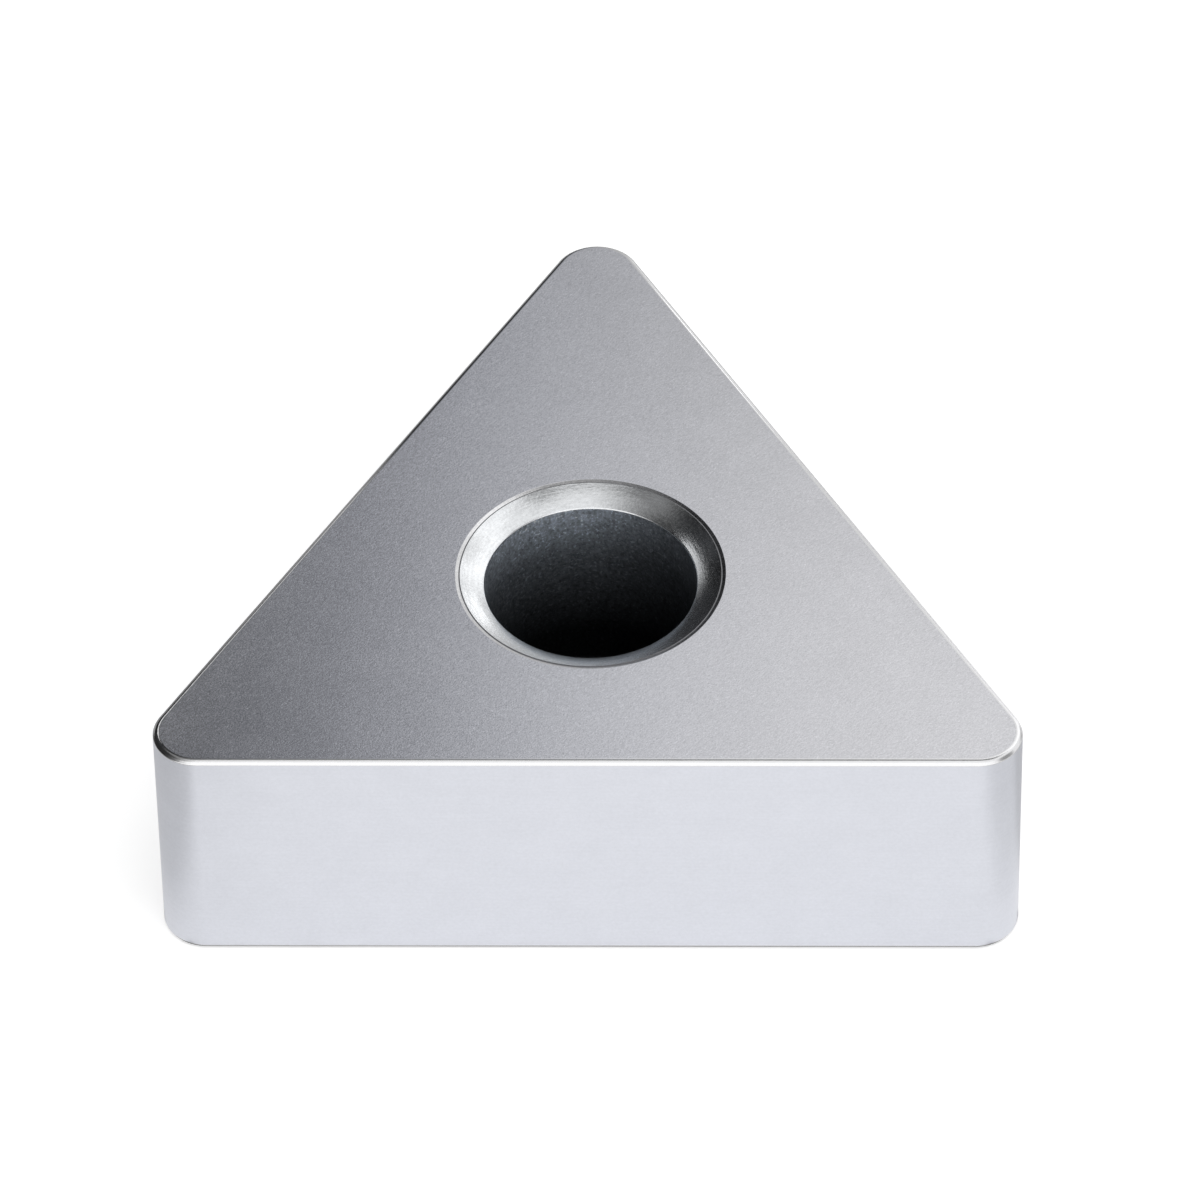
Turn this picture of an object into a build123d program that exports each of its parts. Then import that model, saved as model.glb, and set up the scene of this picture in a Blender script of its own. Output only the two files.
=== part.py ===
import os
from math import radians, tan

from build123d import *

# A three-cornered indexable insert of the flat, double-sided kind. All sizes are in millimetres.
# It lies on one face at z = 0, the hole runs along Z, one corner points to +Y and one flank faces -Y.

# Body
inscribed_circle = 9.525
thickness = 4.76
nose_radius = 0.8

# Small bevel that keeps each cutting edge from being knife sharp
edge_bevel = 0.07

# Screw hole, with a shallow cone at each face
hole_diameter = 3.81
cone_diameter = 4.67
cone_angle = 125

# Broken edge between each cone and the face around it
mouth_break_width = 0.07
mouth_break_depth = 0.014

# Rounding where each cone meets the straight wall of the hole
throat_round = 0.05

hole_radius = hole_diameter / 2
cone_radius = cone_diameter / 2
cone_depth = (cone_radius - hole_radius) / tan(radians(cone_angle / 2))
throat_depth = mouth_break_depth + cone_depth

with BuildPart() as carbide_insert:
    # Triangle around the inscribed circle, with rounded corners
    with BuildSketch():
        RegularPolygon(inscribed_circle / 2, 3, major_radius=False, rotation=90)
        fillet(vertices(), nose_radius)
    extrude(amount=thickness)

    # Bevel all round the upper and the lower face
    rims = edges().filter_by(Plane.XY).group_by(Axis.Z)
    chamfer(rims[0] + rims[-1], edge_bevel)

    # Half section of the hole, from the lower face to the upper one
    with BuildSketch(Plane.XZ):
        with BuildLine():
            Polyline(
                (0, 0),
                (cone_radius + mouth_break_width, 0),
                (cone_radius, mouth_break_depth),
                (hole_radius, throat_depth),
                (hole_radius, thickness - throat_depth),
                (cone_radius, thickness - mouth_break_depth),
                (cone_radius + mouth_break_width, thickness),
                (0, thickness),
                close=True,
            )
        make_face()
        throats = vertices().filter_by_position(Axis.X, hole_radius - 0.001, hole_radius + 0.001)
        fillet(throats, throat_round)
    revolve(axis=Axis.Z, mode=Mode.SUBTRACT)

carbide_insert.part.label = "carbide_insert"

os.makedirs("parts", exist_ok=True)
export_step(carbide_insert.part, "parts/carbide_insert.step")
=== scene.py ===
import math

import bpy
from mathutils import Matrix, Vector


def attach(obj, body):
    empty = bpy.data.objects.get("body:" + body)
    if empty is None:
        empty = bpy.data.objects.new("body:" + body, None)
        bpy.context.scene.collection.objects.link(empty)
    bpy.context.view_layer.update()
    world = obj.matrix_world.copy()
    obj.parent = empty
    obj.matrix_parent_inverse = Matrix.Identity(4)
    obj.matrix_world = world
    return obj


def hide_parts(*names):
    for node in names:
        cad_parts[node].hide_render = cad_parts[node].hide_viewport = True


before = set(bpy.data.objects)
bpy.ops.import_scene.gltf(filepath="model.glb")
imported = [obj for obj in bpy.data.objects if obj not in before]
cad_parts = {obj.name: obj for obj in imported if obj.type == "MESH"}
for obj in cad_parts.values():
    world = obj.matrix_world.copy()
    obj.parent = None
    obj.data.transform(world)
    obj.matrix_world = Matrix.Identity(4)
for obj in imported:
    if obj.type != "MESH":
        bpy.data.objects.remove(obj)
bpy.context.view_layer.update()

MM = 0.001

# Sizes in millimetres, the same as the solid's. BORE is the hole's radius and THROAT the
# rounding between the hole and its cone.
INSCRIBED = 9.525
THICK = 4.76
NOSE = 0.8
BEVEL = 0.07
BORE = 1.905
THROAT = 0.05

# The hole's mouth, which is finer than the solid's: a cone that gets steeper towards the hole,
# a groove and a lip. CONE is the radius of the cone's rim, and the slopes are in degrees.
CONE = 2.345
CONE_SLOPE = 24.0
CONE_BEND = 9.5
GROOVE_WIDTH = 0.024
GROOVE_RISE = 0.007
LIP_WIDTH = 0.055
LIP_DEPTH = 0.02

# Radii of fine roundings that the solid leaves out: from face to bevel, from bevel to flank at
# the upper and at the lower edge, from lip to face, and on the cone's rim
UPPER_BLEND = 0.12
LOWER_BLEND = 0.035
FOOT_BLEND = 0.08
LIP_BLEND = 0.03
CREST = 0.004

# A rounding beside the 45 degree bevel takes up this share of its radius on either side
BEVEL_TURN = math.tan(math.radians(22.5))

# Steps of the mesh: round a corner and along a side, and then along the section
NOSE_STEPS = 32
SIDE_STEPS = 48
WALL_STEPS = 14
THROAT_STEPS = 8
CONE_STEPS = 12
CREST_STEPS = 3
LIP_STEPS = 4
FACE_STEPS = 12
UPPER_STEPS = 6
LOWER_STEPS = 4
FLANK_STEPS = 12

# Below 1, the rows of the hole's wall lie closer together towards its mouth
WALL_SPREAD = 0.8


def outline():
    """Points of the insert's outline as (x, y, outward x, outward y), round the insert once."""
    flank = INSCRIBED / 2
    third = 2 * math.pi / 3
    reach = 2 * (flank - NOSE)
    half = math.atan2((flank - NOSE) * math.sqrt(3), flank)
    points = []
    for corner in range(3):
        to_nose = math.pi / 2 + corner * third
        cx, cy = reach * math.cos(to_nose), reach * math.sin(to_nose)
        for i in range(NOSE_STEPS + 1):
            a = to_nose - third / 2 + third * i / NOSE_STEPS
            ox, oy = math.cos(a), math.sin(a)
            points.append((cx + NOSE * ox, cy + NOSE * oy, ox, oy))
        # the side after this corner, at even angles seen from the hole
        facing = to_nose + third / 2
        ox, oy = math.cos(facing), math.sin(facing)
        for i in range(1, SIDE_STEPS):
            t = flank * math.tan(-half + 2 * half * i / SIDE_STEPS)
            points.append((flank * ox - t * oy, flank * oy + t * ox, ox, oy))
    return points


def arc(centre, radius, start, end, steps):
    """(across, z, normal across, normal z) along an arc of the section, angles in degrees from
    +across towards +z."""
    rows = []
    for i in range(steps + 1):
        a = math.radians(start + (end - start) * i / steps)
        nr, nz = math.cos(a), math.sin(a)
        rows.append((centre[0] + radius * nr, centre[1] + radius * nz, nr, nz))
    return rows


def cone_slope(t):
    """Slope of the cone in radians, a share t of the way in from its rim."""
    return math.radians(CONE_SLOPE + CONE_BEND * t ** 2)


def cone_line(rim_z):
    """(radius, z, normal across, normal z) down the cone, from its rim to the throat's rounding."""
    end = BORE + THROAT * (1 - math.sin(cone_slope(1)))
    rows, z = [], rim_z
    for i in range(CONE_STEPS + 1):
        slope = cone_slope(i / CONE_STEPS)
        radius = CONE + (end - CONE) * i / CONE_STEPS
        rows.append((radius, z, -math.sin(slope), math.cos(slope)))
        z -= (CONE - end) / CONE_STEPS * math.tan(cone_slope((i + 0.5) / CONE_STEPS))
    return rows


def bands(form, points, zone):
    """Rows of the section from points, each (size, z, normal across, normal z)."""
    return [(form, *point, zone) for point in points]


def half_section(side_blend):
    """Rows of one half, from the middle of the hole's wall over the face to the middle of the
    flank. Each row is (form, size, z, normal across, normal z, zone of the band that follows).
    The size of a ring is its radius, and that of a wall how far it lies outside the outline. A
    row of the face has the mouth's radius, the distance from the outline to the face's edge and
    the share of the way between the two."""
    mid = THICK / 2
    groove_z = THICK - LIP_DEPTH
    rim_z = groove_z + GROOVE_RISE

    # the hole's wall, its rounding and the cone
    cone = cone_line(rim_z)
    steep = 90 + CONE_SLOPE + CONE_BEND
    wall_end = cone[-1][1] - THROAT * math.sin(math.radians(steep))
    wall = [(BORE, mid + (wall_end - mid) * (i / WALL_STEPS) ** WALL_SPREAD, -1.0, 0.0)
            for i in range(WALL_STEPS)]
    throat = arc((BORE + THROAT, wall_end), THROAT, 180, steep, THROAT_STEPS)
    rows = bands("ring", wall + throat[:2], "bore")
    rows += bands("ring", throat[2:-1] + cone[:0:-1], "cone")

    # a fine groove round the cone, then the lip that rises to the face
    back = math.degrees(math.atan2(GROOVE_RISE, GROOVE_WIDTH))
    slope = math.atan2(LIP_DEPTH, LIP_WIDTH)
    groove_r = CONE + GROOVE_WIDTH
    lip_end = groove_r + LIP_WIDTH + LIP_BLEND * math.tan(slope / 2)
    crest = arc((CONE, rim_z - CREST), CREST, 90 + CONE_SLOPE, 90 - back, CREST_STEPS)
    foot = (groove_r, groove_z, -math.sin(slope), math.cos(slope))
    lip = arc((lip_end, THICK - LIP_BLEND), LIP_BLEND, 90 + math.degrees(slope), 90, LIP_STEPS)
    rows += bands("ring", crest, "groove")
    rows += bands("ring", [foot] + lip[:-1], "lip")
    rows += bands("ring", lip[-1:], "face")

    # the face, the bevel between its two roundings, and the flank
    mouth = lip[-1][0]
    edge = BEVEL + UPPER_BLEND * BEVEL_TURN
    drop = BEVEL + side_blend * BEVEL_TURN
    face = [((mouth, edge, i / FACE_STEPS), THICK, 0.0, 1.0) for i in range(1, FACE_STEPS)]
    upper = arc((-edge, THICK - UPPER_BLEND), UPPER_BLEND, 90, 45, UPPER_STEPS)
    lower = arc((-side_blend, THICK - drop), side_blend, 45, 0, LOWER_STEPS)
    top = lower[-1][1]
    flank = [(0.0, top + (mid - top) * i / FLANK_STEPS, 1.0, 0.0) for i in range(1, FLANK_STEPS)]
    rows += bands("face", face, "face")
    rows += bands("wall", upper + lower[:-1], "bevel")
    rows += bands("wall", lower[-1:] + flank, "flank")
    return rows


def place_row(row, point):
    """Where a row of the section crosses a point of the outline, and its normal there."""
    form, size, z, nr, nz, _ = row
    x, y, ox, oy = point
    far = math.hypot(x, y)
    ux, uy = x / far, y / far
    if form == "ring":
        spot, way = (size * ux, size * uy), (nr * ux, nr * uy)
    elif form == "wall":
        spot, way = (x + size * ox, y + size * oy), (nr * ox, nr * oy)
    else:
        mouth, edge, t = size
        mx, my = mouth * ux, mouth * uy
        spot = (mx + (x - edge * ox - mx) * t, my + (y - edge * oy - my) * t)
        way = (0.0, 0.0)
    return (spot[0] * MM, spot[1] * MM, z * MM), Vector((*way, nz)).normalized()


# Each zone's place here is the place of its material on the body
ZONES = ["face", "flank", "bevel", "cone", "lip", "groove", "bore"]


def build_insert():
    """One closed mesh: the section's rows, each carried round the insert."""
    around = outline()
    under = half_section(FOOT_BLEND)
    rows = half_section(LOWER_BLEND)
    rows.append(("wall", 0.0, THICK / 2, 1.0, 0.0, "flank"))
    # the lower half is turned over and runs the other way, so each zone moves on by a row
    for k in range(len(under) - 1, 0, -1):
        form, size, z, nr, nz, _ = under[k]
        rows.append((form, size, THICK - z, nr, -nz, under[k - 1][-1]))
    placed = [place_row(row, point) for row in rows for point in around]
    verts, normals = [spot for spot, _ in placed], [normal for _, normal in placed]

    count, turns = len(around), len(rows)
    faces, zones = [], []
    for r, row in enumerate(rows):
        here, there = r * count, (r + 1) % turns * count
        for i in range(count):
            j = (i + 1) % count
            faces.append((here + i, there + i, there + j, here + j))
            zones.append(ZONES.index(row[-1]))
    mesh = bpy.data.meshes.new("insert_body")
    mesh.from_pydata(verts, [], faces)
    mesh.polygons.foreach_set("material_index", zones)
    mesh.polygons.foreach_set("use_smooth", [True] * len(faces))
    mesh.update()
    mesh.normals_split_custom_set_from_vertices(normals)
    body = bpy.data.objects.new("insert_body", mesh)
    bpy.context.scene.collection.objects.link(body)
    return body


# Node helpers

WHITE = (1, 1, 1, 1)


def new_material(name):
    mat = bpy.data.materials.new(name)
    mat.use_nodes = True
    tree = mat.node_tree
    tree.nodes.clear()
    return mat, tree


def add(tree, kind, **values):
    """A node, with settings by attribute name and inputs as in_NAME or in_NUMBER."""
    n = tree.nodes.new(kind)
    for key, value in values.items():
        if key.startswith("in_"):
            slot = key[3:].replace("_", " ")
            socket = n.inputs[int(slot)] if slot.isdigit() else n.inputs[slot]
            if isinstance(value, bpy.types.NodeSocket):
                tree.links.new(value, socket)
            else:
                socket.default_value = value
        else:
            setattr(n, key, value)
    return n


def calc(tree, operation, a, b=0.0):
    return add(tree, "ShaderNodeMath", operation=operation, in_0=a, in_1=b).outputs[0]


def times(tree, first, *others):
    """All the values multiplied."""
    for value in others:
        first = calc(tree, "MULTIPLY", first, value)
    return first


def weighed(tree, pairs, base=0.0):
    """The sum of each value times its weight, plus the base."""
    parts = [calc(tree, "MULTIPLY", value, weight) for value, weight in pairs]
    result = parts[0]
    for value in (*parts[1:], base):
        result = calc(tree, "ADD", result, value)
    return result


def between(tree, a, b, share):
    """The value a share of the way from a to b."""
    return calc(tree, "ADD", a, times(tree, calc(tree, "SUBTRACT", b, a), share))


def ramp(tree, value, low, high, to_low=0.0, to_high=1.0, smooth=True):
    kind = "SMOOTHSTEP" if smooth else "LINEAR"
    n = add(tree, "ShaderNodeMapRange", interpolation_type=kind, in_Value=value, in_From_Min=low,
            in_From_Max=high, in_To_Min=to_low, in_To_Max=to_high)
    return n.outputs["Result"]


def profile(tree, value, stops):
    """A line through the stops, given as (value, result). One stop is the same everywhere."""
    result = stops[0][1]
    for (a, low), (b, high) in zip(stops, stops[1:]):
        step = ramp(tree, value, a, b, 0.0, high - low, smooth=False)
        result = calc(tree, "ADD", result, step)
    return result


def vectors(tree, operation, a, **values):
    """Vector arithmetic: a vector, or a number from the operations that give one."""
    n = add(tree, "ShaderNodeVectorMath", operation=operation, in_0=a, **values)
    return n.outputs["Value" if operation in ("DOT_PRODUCT", "LENGTH") else "Vector"]


def split(tree, vector):
    """The x, y and z of a vector."""
    return tuple(add(tree, "ShaderNodeSeparateXYZ", in_Vector=vector).outputs)


def millimetres(tree):
    """The surface point in millimetres, in the object's own frame."""
    place = add(tree, "ShaderNodeTexCoord").outputs["Object"]
    return vectors(tree, "SCALE", place, in_Scale=1 / MM)


def stretched(tree, vector, scale, angle=0.0):
    """The vector for a pattern whose grain is this long each way and turned about Z, in degrees."""
    return add(tree, "ShaderNodeMapping", vector_type="TEXTURE", in_Vector=vector,
               in_Rotation=(0.0, 0.0, math.radians(angle)), in_Scale=scale).outputs[0]


def noise(tree, vector, scale, detail, roughness=0.5, output="Fac"):
    return add(tree, "ShaderNodeTexNoise", in_Vector=vector, in_Scale=scale, in_Detail=detail,
               in_Roughness=roughness).outputs[output]


def strokes(tree, point, angle, length, width, wander, seed):
    """Short soft strokes, longer along angle (degrees from +X) than across it, whose course
    wanders by up to half of wander, in millimetres."""
    moved = vectors(tree, "ADD", point, in_1=(seed, 2.3 * seed, -seed))
    drift = noise(tree, moved, scale=0.9, detail=1.0, output="Color")
    drift = vectors(tree, "SUBTRACT", drift, in_1=(0.5, 0.5, 0.5))
    drift = vectors(tree, "SCALE", drift, in_Scale=wander)
    bent = vectors(tree, "ADD", moved, in_1=drift)
    return noise(tree, stretched(tree, bent, (length, width, width), angle), 1.0, 2.0, 0.55)


def finish_material(tree, colour, light, rough, height, depth):
    """Bare metal of a colour times light. height is the pattern of its relief and depth the
    relief's depth in millimetres."""
    tone = vectors(tree, "SCALE", colour, in_Scale=light)
    bump = add(tree, "ShaderNodeBump", in_Strength=1.0, in_Distance=depth * MM, in_Height=height)
    shader = add(tree, "ShaderNodeBsdfPrincipled", in_Base_Color=tone, in_Roughness=rough,
                 in_Metallic=1.0, in_Normal=bump.outputs[0])
    add(tree, "ShaderNodeOutputMaterial", in_Surface=shader.outputs[0])


# Finishes of the insert; the groove and the hole's wall carry painted shade

FACE_COLOUR = (0.715, 0.716, 0.744)
FLANK_COLOUR = (0.75, 0.765, 0.82)
EDGE_COLOUR = (0.76, 0.76, 0.77)
CONE_COLOUR = (0.725, 0.74, 0.755)
# Painted shade: the groove's colour is darkened to stand for the shade in it
GROOVE_SHADE_COLOUR = (0.25, 0.25, 0.26)
BORE_COLOUR = (0.18, 0.196, 0.218)

# Painted shade and light on the hole's wall, by height in millimetres: dark deep inside, light at
# the mouths
BORE_PAINTED_SHADE = [(0.3, 1.8), (0.8, 0.15), (1.5, 0.15), (2.5, 0.75), (3.5, 1.45), (4.4, 2.9)]


def face_material():
    """Finely ground face: short strokes, mostly one way, over a soft mottling."""
    mat, tree = new_material("ground_face")
    p = millimetres(tree)
    x, _, _ = split(tree, p)
    main = strokes(tree, p, angle=52, length=0.11, width=0.026, wander=0.25, seed=3.1)
    cross = strokes(tree, p, angle=20, length=0.08, width=0.028, wander=0.3, seed=11.7)
    grain = noise(tree, p, scale=34.0, detail=2.0, roughness=0.6)
    cloud = noise(tree, p, scale=1.1, detail=3.0, roughness=0.55)
    # fine light scratches, and a contrast that is stronger on the left
    thin = strokes(tree, p, angle=45, length=0.075, width=0.021, wander=0.8, seed=29.3)
    scratches = ramp(tree, thin, 0.56, 0.80)
    contrast = ramp(tree, x, -7.0, 5.0, 1.3, 0.6)
    pattern = [(main, 0.42), (cross, 0.33), (grain, 0.70), (scratches, 0.28)]
    detail = weighed(tree, pattern, base=-0.725)
    light = weighed(tree, [(detail, contrast), (cloud, 0.12)], base=0.89)
    rough = weighed(tree, [(grain, 0.08), (cloud, 0.05)], base=0.18)
    relief = weighed(tree, [(main, 0.2), (grain, 0.9)])
    finish_material(tree, FACE_COLOUR, light, rough, relief, depth=0.002)
    return mat


def flank_material():
    """Ground flank: smoother and more even than the face, with very faint lines along it."""
    mat, tree = new_material("ground_flank")
    p = millimetres(tree)
    lines = noise(tree, stretched(tree, p, (1.6, 1.6, 0.05)), scale=1.0, detail=3.0, roughness=0.6)
    grain = noise(tree, p, scale=16.0, detail=3.0, roughness=0.6)
    cloud = noise(tree, p, scale=1.3, detail=4.0, roughness=0.6)
    height = weighed(tree, [(lines, 0.3), (grain, 0.7)])
    light = weighed(tree, [(height, 0.18), (cloud, 0.08)], base=0.88)
    rough = weighed(tree, [(grain, 0.06)], base=0.28)
    finish_material(tree, FLANK_COLOUR, light, rough, height, depth=0.002)
    return mat


def bevel_material():
    """Honed bevel, the brightest line on the insert."""
    mat, tree = new_material("honed_bevel")
    grain = noise(tree, millimetres(tree), scale=14.0, detail=3.0, roughness=0.6)
    light = weighed(tree, [(grain, 0.10)], base=0.97)
    rough = weighed(tree, [(grain, 0.08)], base=0.14)
    finish_material(tree, EDGE_COLOUR, light, rough, grain, depth=0.001)
    return mat


def ring_material(name, colour, rough_base):
    """Turned metal round the hole: fine rings, with a dull grain between them. It is a little
    rougher near the hole's wall."""
    mat, tree = new_material(name)
    p = millimetres(tree)
    x, y, _ = split(tree, p)
    angle = calc(tree, "ARCTAN2", y, x)
    reach = calc(tree, "SQRT", weighed(tree, [(x, x), (y, y)]))
    # the noise changes fast outwards and slowly round the hole
    outwards, round_it = 26.0, 7.0
    rings = add(tree, "ShaderNodeCombineXYZ", in_X=times(tree, reach, outwards),
                in_Y=times(tree, calc(tree, "SINE", angle), round_it),
                in_Z=times(tree, calc(tree, "COSINE", angle), round_it)).outputs[0]
    lines = noise(tree, rings, scale=1.0, detail=3.0, roughness=0.6)
    grain = noise(tree, p, scale=20.0, detail=2.0, roughness=0.6)
    height = weighed(tree, [(lines, 0.5), (grain, 0.5)])
    light = weighed(tree, [(height, 0.80)], base=0.60)
    near_wall = ramp(tree, reach, 1.92, 2.25, 1.0, 0.0)
    rough = weighed(tree, [(grain, 0.12), (near_wall, 0.04)], base=rough_base)
    finish_material(tree, colour, light, rough, height, depth=0.003)
    return mat


def bore_material():
    """Straight wall of the hole, as it left the furnace: dark, dull and grainy, with painted
    shade deep inside, on the right and at the front.
    """
    mat, tree = new_material("sintered_bore_painted_shade")
    p = millimetres(tree)
    x, y, z = split(tree, p)
    grain = noise(tree, p, scale=14.0, detail=3.0, roughness=0.75)
    specks = ramp(tree, noise(tree, p, scale=18.0, detail=1.0, roughness=0.6), 0.58, 0.72)
    cloud = noise(tree, p, scale=1.5, detail=3.0, roughness=0.5)
    pattern = weighed(tree, [(grain, 2.0), (cloud, 0.4), (specks, 0.7)], base=-0.28)
    # painted light and shade: darker on the right and at the front, lighter on the left and at the
    # back
    side = ramp(tree, x, -0.6, 1.6, 1.1, 0.42)
    back = ramp(tree, y, 0.0, 1.9, 0.45, 1.15)
    # the grain times painted shade by height, side and depth
    light = times(tree, pattern, profile(tree, z, BORE_PAINTED_SHADE), side, back)
    rough = weighed(tree, [(grain, 0.15)], base=0.62)
    finish_material(tree, BORE_COLOUR, light, rough, grain, depth=0.012)
    return mat


body = build_insert()
for material in (
    face_material(),
    flank_material(),
    bevel_material(),
    ring_material("turned_cone", CONE_COLOUR, rough_base=0.13),
    ring_material("broken_lip", EDGE_COLOUR, rough_base=0.12),
    # the groove's dark colour is painted shade
    ring_material("dull_groove_painted_shade", GROOVE_SHADE_COLOUR, rough_base=0.34),
    bore_material(),
):
    body.data.materials.append(material)
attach(body, "root")
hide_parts("carbide_insert")

# Stage: a pale floor, a pale surround, cards that only reflections see, and one lamp. A strength
# or tone of 1 is white. Places are in millimetres.

FLOOR_TONE = 0.8
FLOOR_GLOW = 0.5
FLOOR_HALF = 2000

# Painted shade: towards the hole's axis the floor's colour and glow go black between the second and
# the first of these radii
HOLE_SHADE = (2.2, 3.2)

# The floor in reflections: strength by x, before the first y of FLOOR_CHANGE and behind the second
FLOOR_CHANGE = (0.0, 9.0)
FLOOR_BEFORE = [(-32, 0.10), (-17, 0.27), (-10.5, 0.68), (-9.5, 0.65), (-8.8, 0.85), (-7.9, 1.1),
                (-7.2, 1.2), (-5.5, 1.3), (7.5, 1.3), (8.2, 1.28), (9, 1.12), (10, 0.95),
                (14, 0.85), (20, 0.9)]
FLOOR_BEHIND = [(-24, 0.4), (-12, 0.1), (-10, 0.1), (-8, 0.32), (0, 0.38), (8.5, 0.45),
                (11, 1.5), (20, 1.5), (32, 0.95)]

# Painted shadow: in reflections it is black under the insert and fades in over FOOT_SHADE outside
# the foot. A patch beside the right corner has only PATCH_LIGHT of its strength.
FOOT_SHADE = 1.1 * BEVEL
PATCH_LIGHT = 0.6

# The surround: how strongly it lights the insert, and what reflections see of it by the x and y
# of the way they look. The second list is how far FRONT_LIGHT takes over from the first. Round
# SPOT_WAY, high on the right, it is dimmer, by the cosine of the angle from there. A strip
# overhead and a band low on the right are darker by these shares.
AMBIENT = 0.55
SIDE_LIGHT = [(-0.8, 0.02), (-0.6, 0.03), (-0.52, 0.18), (-0.44, 0.25), (-0.36, 0.38),
              (-0.2, 0.72), (0.0, 1.08), (0.25, 1.0), (0.5, 1.02)]
FRONT_SHARE = [(-0.70, 1.0), (-0.60, 0.6), (-0.48, 0.13), (-0.3, 0.04), (-0.1, 0.0)]
FRONT_LIGHT = 1.33
SPOT_WAY = (0.82, -0.25, 0.515)
SPOT_EDGE = (0.93, 0.985)
SPOT_LIGHT = 0.35
STRIP_DARK = 0.75
BAND_DARK = 0.5

CARDS = [
    {"name": "card_back", "centre": (0, 31, 23.8), "facing": (0, -0.71, -0.70), "size": (90, 63),
     "soft": 6, "tint": (0.925, 0.96, 1.05), "levels": [
         (-18, [(-18, 0.03), (-13, 0.02), (-9, 0.04), (-4, 0.20), (0, 0.42), (5, 0.52), (9, 0.65),
                (13, 0.75), (22, 0.72), (28, 1.1), (36, 1.4)]),
         (-8, [(-18, 0.02), (-13, 0.02), (-9, 0.04), (-4, 0.30), (0, 0.48), (5, 0.58), (9, 0.66),
               (13, 0.74), (18, 0.82), (24, 1.1), (36, 1.4)]),
         (3.3, [(-13, 0.0), (-9.3, 0.12), (-6.6, 0.25), (-4.4, 0.42), (-2.5, 0.53), (-0.7, 0.56),
                (1.1, 0.565), (3, 0.61), (5.4, 0.68), (7.8, 0.73), (11, 0.78), (14, 0.82),
                (17, 1.15), (22, 1.55), (30, 1.5)]),
         (10.6, [(-45, 0.05), (-22, 0.05), (-13, 0.0), (-9.3, 0.13), (-6.6, 0.25), (-4.4, 0.42),
                 (-2.5, 0.65), (-0.7, 0.88), (3.5, 0.92), (7.8, 1.0), (12, 0.88), (16, 0.75),
                 (21, 0.75), (27, 1.3), (40, 1.35)]),
         (18, [(-45, 0.05), (-13, 0.0), (-9.3, 0.10), (-4.4, 0.4), (-0.7, 0.8), (3.5, 0.88),
               (7.8, 1.0), (12, 1.1), (16, 1.25), (27, 1.35), (40, 1.35)])]},
    {"name": "card_low", "centre": (2, 48, 5), "facing": (0, -1, 0), "size": (60, 18),
     "soft": 5, "levels": [
         (0, [(-25, 0.03), (-22, 0.18), (-16, 0.18), (-12, 0.06), (-9, 0.08), (-4, 0.28),
              (0, 0.42), (8, 0.5), (12, 1.0), (16, 1.3), (18, 1.3), (19.5, 0.3), (30, 0.3)])]},
    {"name": "card_near", "centre": (4.2, 13, 8.6), "facing": (0, -1, 0), "size": (4.8, 1.8),
     "soft": 0.4, "roll": 53, "levels": [(0, [(0, 1.8)])]},
    {"name": "card_side", "centre": (-11.2, 14, 5.6), "facing": (0, -1, 0), "size": (7, 7.2),
     "soft": 1, "levels": [(0, [(0, 0.30)])]},
    {"name": "card_left", "centre": (-9.7, 7.45, 12.15), "facing": (0.389, -0.913, 0.125),
     "size": (12.5, 3.2), "soft": 0.9, "roll": 131,
     "levels": [(0, [(-5, 0.75), (0, 1.0), (4, 1.9)])]},
    {"name": "card_right", "centre": (12, 5.5, 11.5), "facing": (-1, 0, 0), "size": (7.5, 11),
     "soft": 1, "levels": [(0, [(0, 1.25)])]},
]


def sheet(name, half_w, half_h):
    """A flat rectangle about its own middle, its half sizes in millimetres."""
    corners = [(-half_w, -half_h), (half_w, -half_h), (half_w, half_h), (-half_w, half_h)]
    mesh = bpy.data.meshes.new(name)
    mesh.from_pydata([(x * MM, y * MM, 0) for x, y in corners], [], [(0, 1, 2, 3)])
    obj = bpy.data.objects.new(name, mesh)
    bpy.context.scene.collection.objects.link(obj)
    return obj


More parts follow.
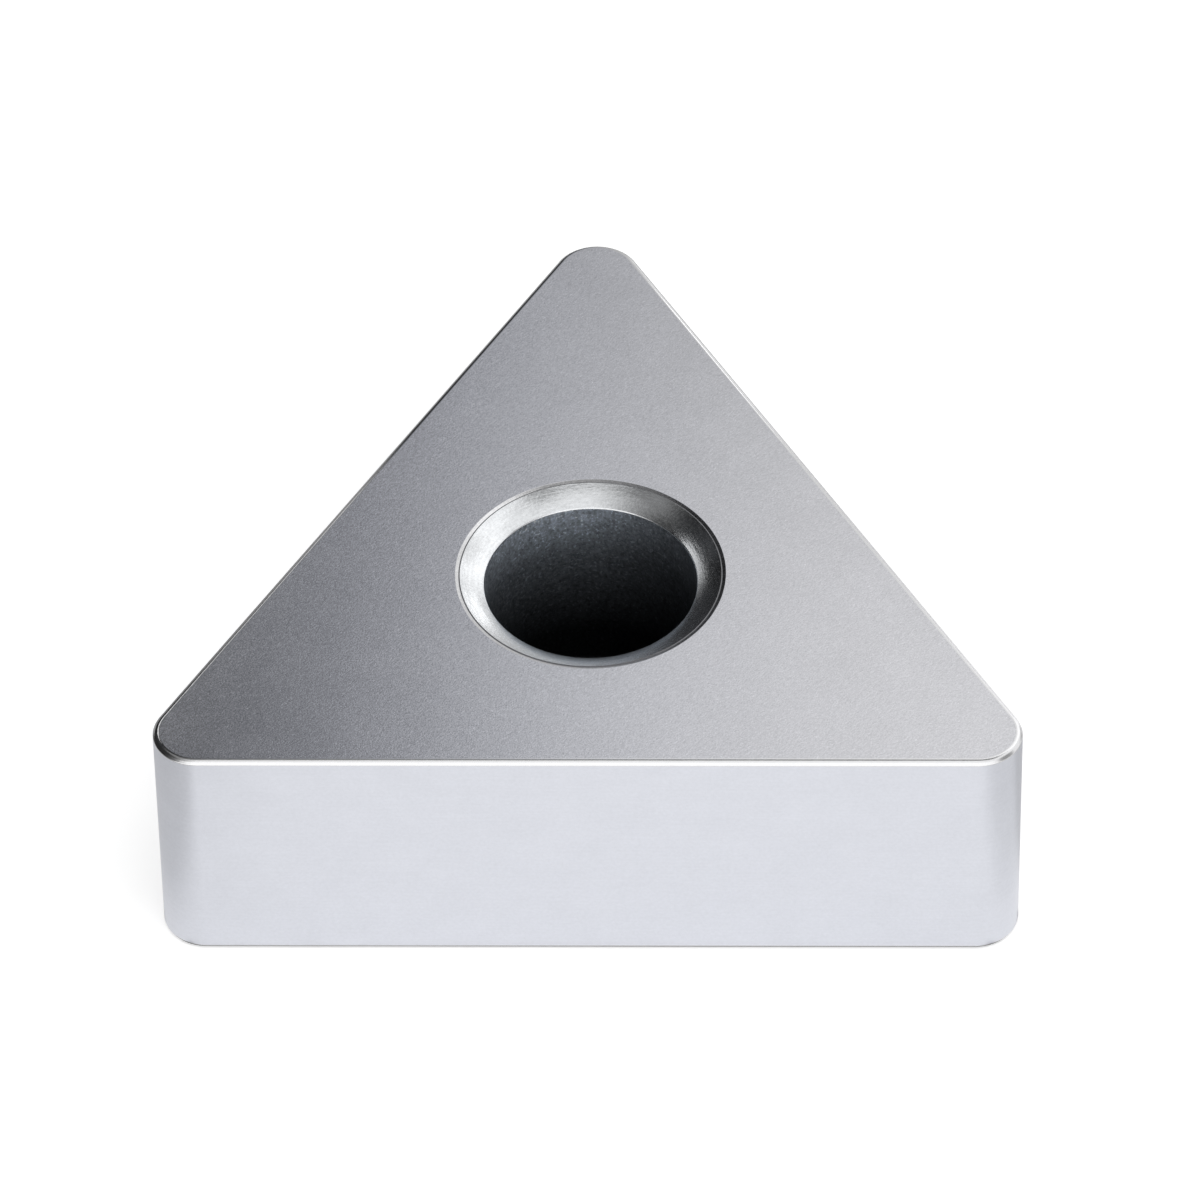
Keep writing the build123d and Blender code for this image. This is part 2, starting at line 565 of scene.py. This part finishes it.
def make_floor():
    """Pale floor. For the camera it adds a little of its own light, and in reflections it is
    darker to the left, behind the insert and, with painted shadow, close to its foot. Round the
    hole's axis it is painted black, as painted shade in the hole."""
    floor = sheet("floor", FLOOR_HALF, FLOOR_HALF)
    mat, tree = new_material("pale_floor")
    p = millimetres(tree)
    x, y, _ = split(tree, p)
    reach = vectors(tree, "LENGTH", p)
    path = add(tree, "ShaderNodeLightPath")

    # how far out a floor point lies towards the nearest flank, and where the floor is open
    out = times(tree, y, -1.0)
    for side in (-0.866, 0.866):
        towards = vectors(tree, "DOT_PRODUCT", p, in_1=(side, 0.5, 0))
        out = calc(tree, "MAXIMUM", out, towards)
    foot, tip = INSCRIBED / 2, INSCRIBED - NOSE
    beyond_foot = ramp(tree, out, foot, foot + FOOT_SHADE)
    beyond_nose = ramp(tree, reach, tip - BEVEL, tip)
    open_floor = calc(tree, "MAXIMUM", beyond_foot, beyond_nose)
    outside_hole_shade = ramp(tree, reach, *HOLE_SHADE)

    # what the camera and the light see
    # painted shade: the floor's colour goes black round the hole's axis
    tone = times(tree, outside_hole_shade, FLOOR_TONE)
    paint_colour = add(tree, "ShaderNodeCombineXYZ", in_X=tone, in_Y=tone, in_Z=tone).outputs[0]
    paint = add(tree, "ShaderNodeBsdfDiffuse", in_Color=paint_colour)
    seen = times(tree, path.outputs["Is Camera Ray"], outside_hole_shade, FLOOR_GLOW)
    glow = add(tree, "ShaderNodeEmission", in_Color=WHITE, in_Strength=seen)
    lit = add(tree, "ShaderNodeAddShader", in_0=paint.outputs[0], in_1=glow.outputs[0])

    # what reflections see
    depth = ramp(tree, y, *FLOOR_CHANGE)
    mirrored = between(tree, profile(tree, x, FLOOR_BEFORE), profile(tree, x, FLOOR_BEHIND), depth)
    patch = times(tree, ramp(tree, x, 7.8, 8.3), ramp(tree, y, -3.4, -2.2),
                  ramp(tree, y, 4.0, 1.0))
    # painted shadow in reflections under the insert and close to its foot
    mirrored = times(tree, mirrored, between(tree, 1.0, PATCH_LIGHT, patch), open_floor)
    image = add(tree, "ShaderNodeEmission", in_Color=WHITE, in_Strength=mirrored)

    # how much of it they see in place of the lit floor, more at the far left
    far_left = times(tree, ramp(tree, x, -8.6, -10.2), depth)
    share = weighed(tree, [(far_left, 0.4)], base=ramp(tree, out, 4.7, 7.5, 0.48, 0.5))
    in_mirror = times(tree, path.outputs["Is Glossy Ray"], share)
    both = add(tree, "ShaderNodeMixShader", in_0=in_mirror, in_1=lit.outputs[0],
               in_2=image.outputs[0])
    add(tree, "ShaderNodeOutputMaterial", in_Surface=both.outputs[0])
    floor.data.materials.append(mat)


def make_world():
    """White for the camera. Reflections see it dark on the left, bright on the right and
    brightest from the front."""
    world = bpy.data.worlds.new("studio")
    bpy.context.scene.world = world
    world.use_nodes = True
    tree = world.node_tree
    tree.nodes.clear()
    path = add(tree, "ShaderNodeLightPath")
    way = add(tree, "ShaderNodeTexCoord").outputs["Generated"]
    x, y, z = split(tree, way)
    mirrored = between(tree, profile(tree, x, SIDE_LIGHT), FRONT_LIGHT,
                       profile(tree, y, FRONT_SHARE))

    to_spot = vectors(tree, "DOT_PRODUCT", way, in_1=SPOT_WAY)
    mirrored = times(tree, mirrored, ramp(tree, to_spot, *SPOT_EDGE, 1.0, SPOT_LIGHT))
    strip = times(tree, ramp(tree, y, -0.06, 0.02), ramp(tree, y, 0.64, 0.58),
                  ramp(tree, calc(tree, "ABSOLUTE", x), 0.40, 0.30), ramp(tree, z, 0.0, 0.3))
    band = times(tree, ramp(tree, z, 0.2, 0.08), ramp(tree, x, 0.5, 0.65))
    dark = calc(tree, "MAXIMUM", times(tree, strip, STRIP_DARK), times(tree, band, BAND_DARK))
    mirrored = times(tree, mirrored, calc(tree, "SUBTRACT", 1.0, dark))

    white = calc(tree, "MAXIMUM", path.outputs["Is Camera Ray"],
                 path.outputs["Is Transmission Ray"])
    plain = between(tree, AMBIENT, 1.0, white)
    strength = between(tree, plain, mirrored, path.outputs["Is Glossy Ray"])
    sky = add(tree, "ShaderNodeBackground", in_Color=WHITE, in_Strength=strength)
    add(tree, "ShaderNodeOutputWorld", in_Surface=sky.outputs[0])


def card(name, centre, facing, size, soft, levels, tint=(1, 1, 1), roll=0):
    """A card seen only in reflections. facing is the way its lit side looks. Each level is a
    height and its stops, which are (place, strength) from its left to its right as the insert
    sees it, from its middle. soft is the width of its fading border, tint the colour of its left
    side and roll its turn in its own plane, in degrees."""
    half_w, half_h = size[0] / 2, size[1] / 2
    obj = sheet(name, half_w, half_h)
    facing = Vector(facing).normalized()
    up = (Vector((0, 0, 1)) - facing * facing.z).normalized()
    turn = Matrix((up.cross(facing), up, facing)).transposed().to_4x4()
    turn = turn @ Matrix.Rotation(math.radians(roll), 4, "Z")
    obj.matrix_world = Matrix.Translation(Vector(centre) * MM) @ turn

    mat, tree = new_material(name)
    across, height, _ = split(tree, millimetres(tree))
    strength = profile(tree, across, levels[0][1])
    for (low_end, _), (high_end, stops) in zip(levels, levels[1:]):
        upward = ramp(tree, height, low_end, high_end, smooth=False)
        strength = between(tree, strength, profile(tree, across, stops), upward)
    colour = add(tree, "ShaderNodeMix", data_type="RGBA", in_Factor=ramp(tree, across, -8, 5),
                 in_A=(*tint, 1), in_B=WHITE)
    glow = add(tree, "ShaderNodeEmission", in_Color=colour.outputs["Result"], in_Strength=strength)
    clear = add(tree, "ShaderNodeBsdfTransparent")
    fades = [ramp(tree, calc(tree, "ABSOLUTE", place), half - soft, half, 1.0, 0.0)
             for place, half in ((across, half_w), (height, half_h))]
    mixed = add(tree, "ShaderNodeMixShader", in_0=times(tree, *fades), in_1=clear.outputs[0],
                in_2=glow.outputs[0])
    add(tree, "ShaderNodeOutputMaterial", in_Surface=mixed.outputs[0])
    obj.data.materials.append(mat)
    obj.visible_camera = obj.visible_diffuse = obj.visible_shadow = False
    obj.visible_transmission = obj.visible_volume_scatter = False


def lamp(name, place, target, size, strength):
    """A square soft lamp. strength is its brightness."""
    data = bpy.data.lights.new(name, "AREA")
    data.size = size * MM
    data.energy = strength * math.pi * data.size ** 2
    obj = bpy.data.objects.new(name, data)
    bpy.context.scene.collection.objects.link(obj)
    obj.location = Vector(place) * MM
    obj.rotation_mode = "QUATERNION"
    obj.rotation_quaternion = (Vector(target) - Vector(place)).to_track_quat("-Z", "Y")
    obj.visible_camera = obj.visible_glossy = False


make_floor()
make_world()
for values in CARDS:
    card(**values)
lamp("lamp_top", place=(20, -60, 160), target=(0, 0, 0), size=120, strength=2.0)

# Camera: its place in millimetres, its turns in degrees, and its focal length in pixels of a
# picture PICTURE pixels wide. SENSOR is in millimetres and CLIP in metres.

CLIP = (0.01, 10.0)
CAMERA = {"place": (3.2627, -120.3117, 122.7276), "pan": -1.4769, "tilt": 44.5914,
          "roll": 1.0072, "focal": 9415.3684}
PICTURE = 1200
SENSOR = 36.0


def make_camera():
    pan, tilt, roll = (math.radians(CAMERA[k]) for k in ("pan", "tilt", "roll"))
    forward = Vector((math.sin(pan) * math.cos(tilt), math.cos(pan) * math.cos(tilt),
                      -math.sin(tilt)))
    level = Vector((math.cos(pan), -math.sin(pan), 0))
    below = forward.cross(level)
    right = math.cos(roll) * level + math.sin(roll) * below
    down = -math.sin(roll) * level + math.cos(roll) * below
    data = bpy.data.cameras.new("camera")
    data.sensor_width = SENSOR
    data.lens = CAMERA["focal"] / PICTURE * SENSOR
    data.clip_start, data.clip_end = CLIP
    obj = bpy.data.objects.new("camera", data)
    bpy.context.scene.collection.objects.link(obj)
    turn = Matrix((right, -down, -forward)).transposed()
    obj.matrix_world = Matrix.Translation(Vector(CAMERA["place"]) * MM) @ turn.to_4x4()
    bpy.context.scene.camera = obj


make_camera()
bpy.context.scene.view_settings.view_transform = "Standard"
